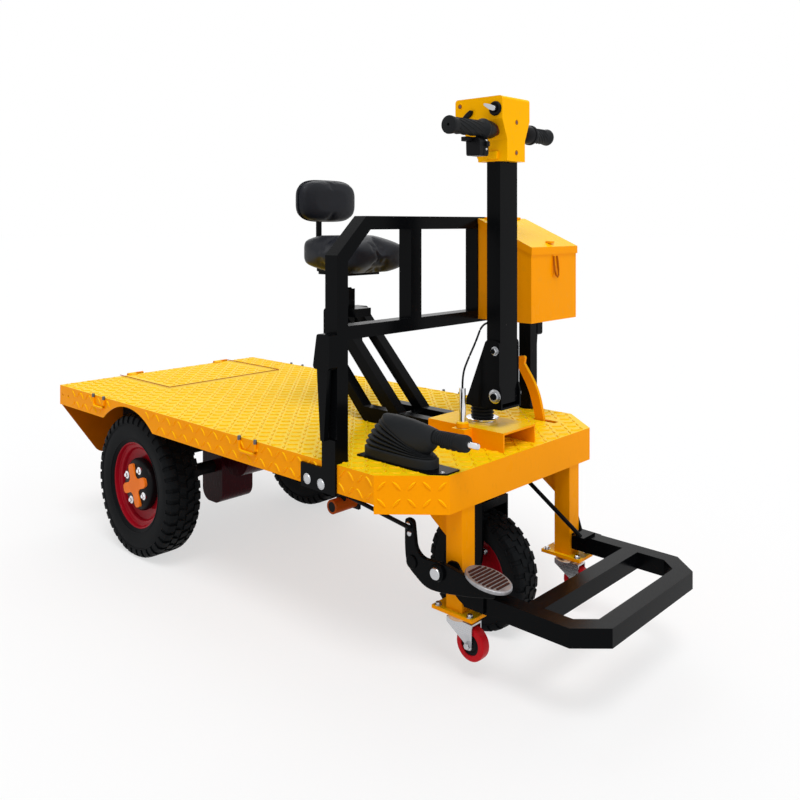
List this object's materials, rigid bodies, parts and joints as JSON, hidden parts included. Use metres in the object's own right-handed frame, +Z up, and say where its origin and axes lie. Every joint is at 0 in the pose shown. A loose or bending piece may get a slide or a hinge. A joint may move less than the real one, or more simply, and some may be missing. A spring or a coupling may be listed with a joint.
{
  "type": "electric flatbed tricycle",
  "caption": "Flat-decked electric cargo tricycle with a tiller steering post, a seat behind a guard frame, a lidded toolbox and a step frame at the front.",
  "frame": {"origin": "on the floor, under the middle of the whole machine's box", "axes": "+X towards the steering end, +Y to the driver's left, +Z up"},
  "size_m": [1.951, 0.852, 1.32],
  "materials": {
    "deck_paint": "gloss",
    "orange_paint": "gloss",
    "frame_paint": "satin",
    "black_paint": "gloss",
    "chrome_ring": "polished",
    "seat_vinyl": "satin",
    "linkage_paint": "gloss",
    "boot_rubber": "satin",
    "grip_rubber": "satin",
    "axle_steel": "satin",
    "drive_paint": "gloss",
    "battery_case": "matte",
    "tyre_rubber": "matte",
    "crimson_paint": "gloss",
    "switch_plastic": "gloss",
    "cable_sheath": "satin",
    "cap_plastic": "gloss",
    "zinc_plate": "satin",
    "caster_red": "gloss"
  },
  "bodies": {
    "chassis": {"deck_plate": "deck_paint", "rear_panel": "orange_paint", "chassis_frame": "frame_paint", "front_legs": "orange_paint", "pedestal": "orange_paint", "steering_bearing": "chrome_ring", "guard_frame": "black_paint", "guard_latches": "black_paint", "toolbox": "orange_paint", "seat_frame": "black_paint", "seat_bracket": "black_paint", "seat_cushion": "seat_vinyl", "seat_backrest": "seat_vinyl", "footrest_frame": "black_paint", "footrest_stay": "black_paint", "brake_pedal": "black_paint", "brake_linkage": "linkage_paint", "handbrake_base": "black_paint", "handbrake_boot": "boot_rubber", "handbrake_lever": "grip_rubber", "shift_lever": "orange_paint", "cable_conduit": "chrome_ring", "rear_axle": "axle_steel", "drive_unit": "drive_paint", "battery": "battery_case", "battery_tray": "frame_paint"},
    "rear_wheel_left": {"rear_tyre_left": "tyre_rubber", "rear_rim_left": "crimson_paint", "hub_cap_left": "cap_plastic"},
    "rear_wheel_right": {"rear_tyre_right": "tyre_rubber", "rear_rim_right": "crimson_paint", "hub_cap_right": "cap_plastic"},
    "steering": {"steering_fork": "black_paint", "steering_bracket": "black_paint", "steering_column": "black_paint", "control_head": "orange_paint", "handlebar": "axle_steel", "grips": "grip_rubber", "switch_blocks": "switch_plastic", "key_switch": "switch_plastic", "control_cable": "cable_sheath"},
    "front_wheel": {"front_tyre": "tyre_rubber", "front_rim": "crimson_paint"},
    "caster_swivel_left": {"caster_fork_left": "zinc_plate"},
    "caster_swivel_right": {"caster_fork_right": "zinc_plate"},
    "caster_roller_left": {"caster_wheel_left": "caster_red"},
    "caster_roller_right": {"caster_wheel_right": "caster_red"},
    "lid": {"toolbox_lid": "orange_paint"},
    "hatch": {"deck_hatch": "deck_paint"}
  },
  "joints": [
    {"name": "rear_wheel_left_roll", "type": "hinge", "parent": "chassis", "child": "rear_wheel_left", "pos_m": [-0.5235, 0.327, 0.214], "axis": [0, 1, 0], "continuous": true},
    {"name": "rear_wheel_right_roll", "type": "hinge", "parent": "chassis", "child": "rear_wheel_right", "pos_m": [-0.5235, -0.327, 0.214], "axis": [0, 1, 0], "continuous": true},
    {"name": "steering_turn", "type": "hinge", "parent": "chassis", "child": "steering", "pos_m": [0.5115, 0, 0.479], "axis": [0, 0, 1], "range_deg": [-35, 35]},
    {"name": "front_wheel_roll", "type": "hinge", "parent": "steering", "child": "front_wheel", "pos_m": [0.5115, 0, 0.144], "axis": [0, 1, 0], "continuous": true},
    {"name": "caster_left_swivel", "type": "hinge", "parent": "chassis", "child": "caster_swivel_left", "pos_m": [0.619, 0.221, 0.129], "axis": [0, 0, 1], "continuous": true},
    {"name": "caster_left_roll", "type": "hinge", "parent": "caster_swivel_left", "child": "caster_roller_left", "pos_m": [0.654, 0.221, 0.0835], "axis": [0, 1, 0], "continuous": true},
    {"name": "caster_right_swivel", "type": "hinge", "parent": "chassis", "child": "caster_swivel_right", "pos_m": [0.619, -0.221, 0.129], "axis": [0, 0, 1], "continuous": true},
    {"name": "caster_right_roll", "type": "hinge", "parent": "caster_swivel_right", "child": "caster_roller_right", "pos_m": [0.654, -0.221, 0.0835], "axis": [0, 1, 0], "continuous": true},
    {"name": "toolbox_lid_open", "type": "hinge", "parent": "chassis", "child": "lid", "pos_m": [0.4125, 0.226, 1.022], "axis": [0, -1, 0], "range_deg": [0, 95]},
    {"name": "deck_hatch_open", "type": "hinge", "parent": "chassis", "child": "hatch", "pos_m": [-0.9695, 0.049, 0.465], "axis": [0, -1, 0], "range_deg": [0, 100]}
  ]
}
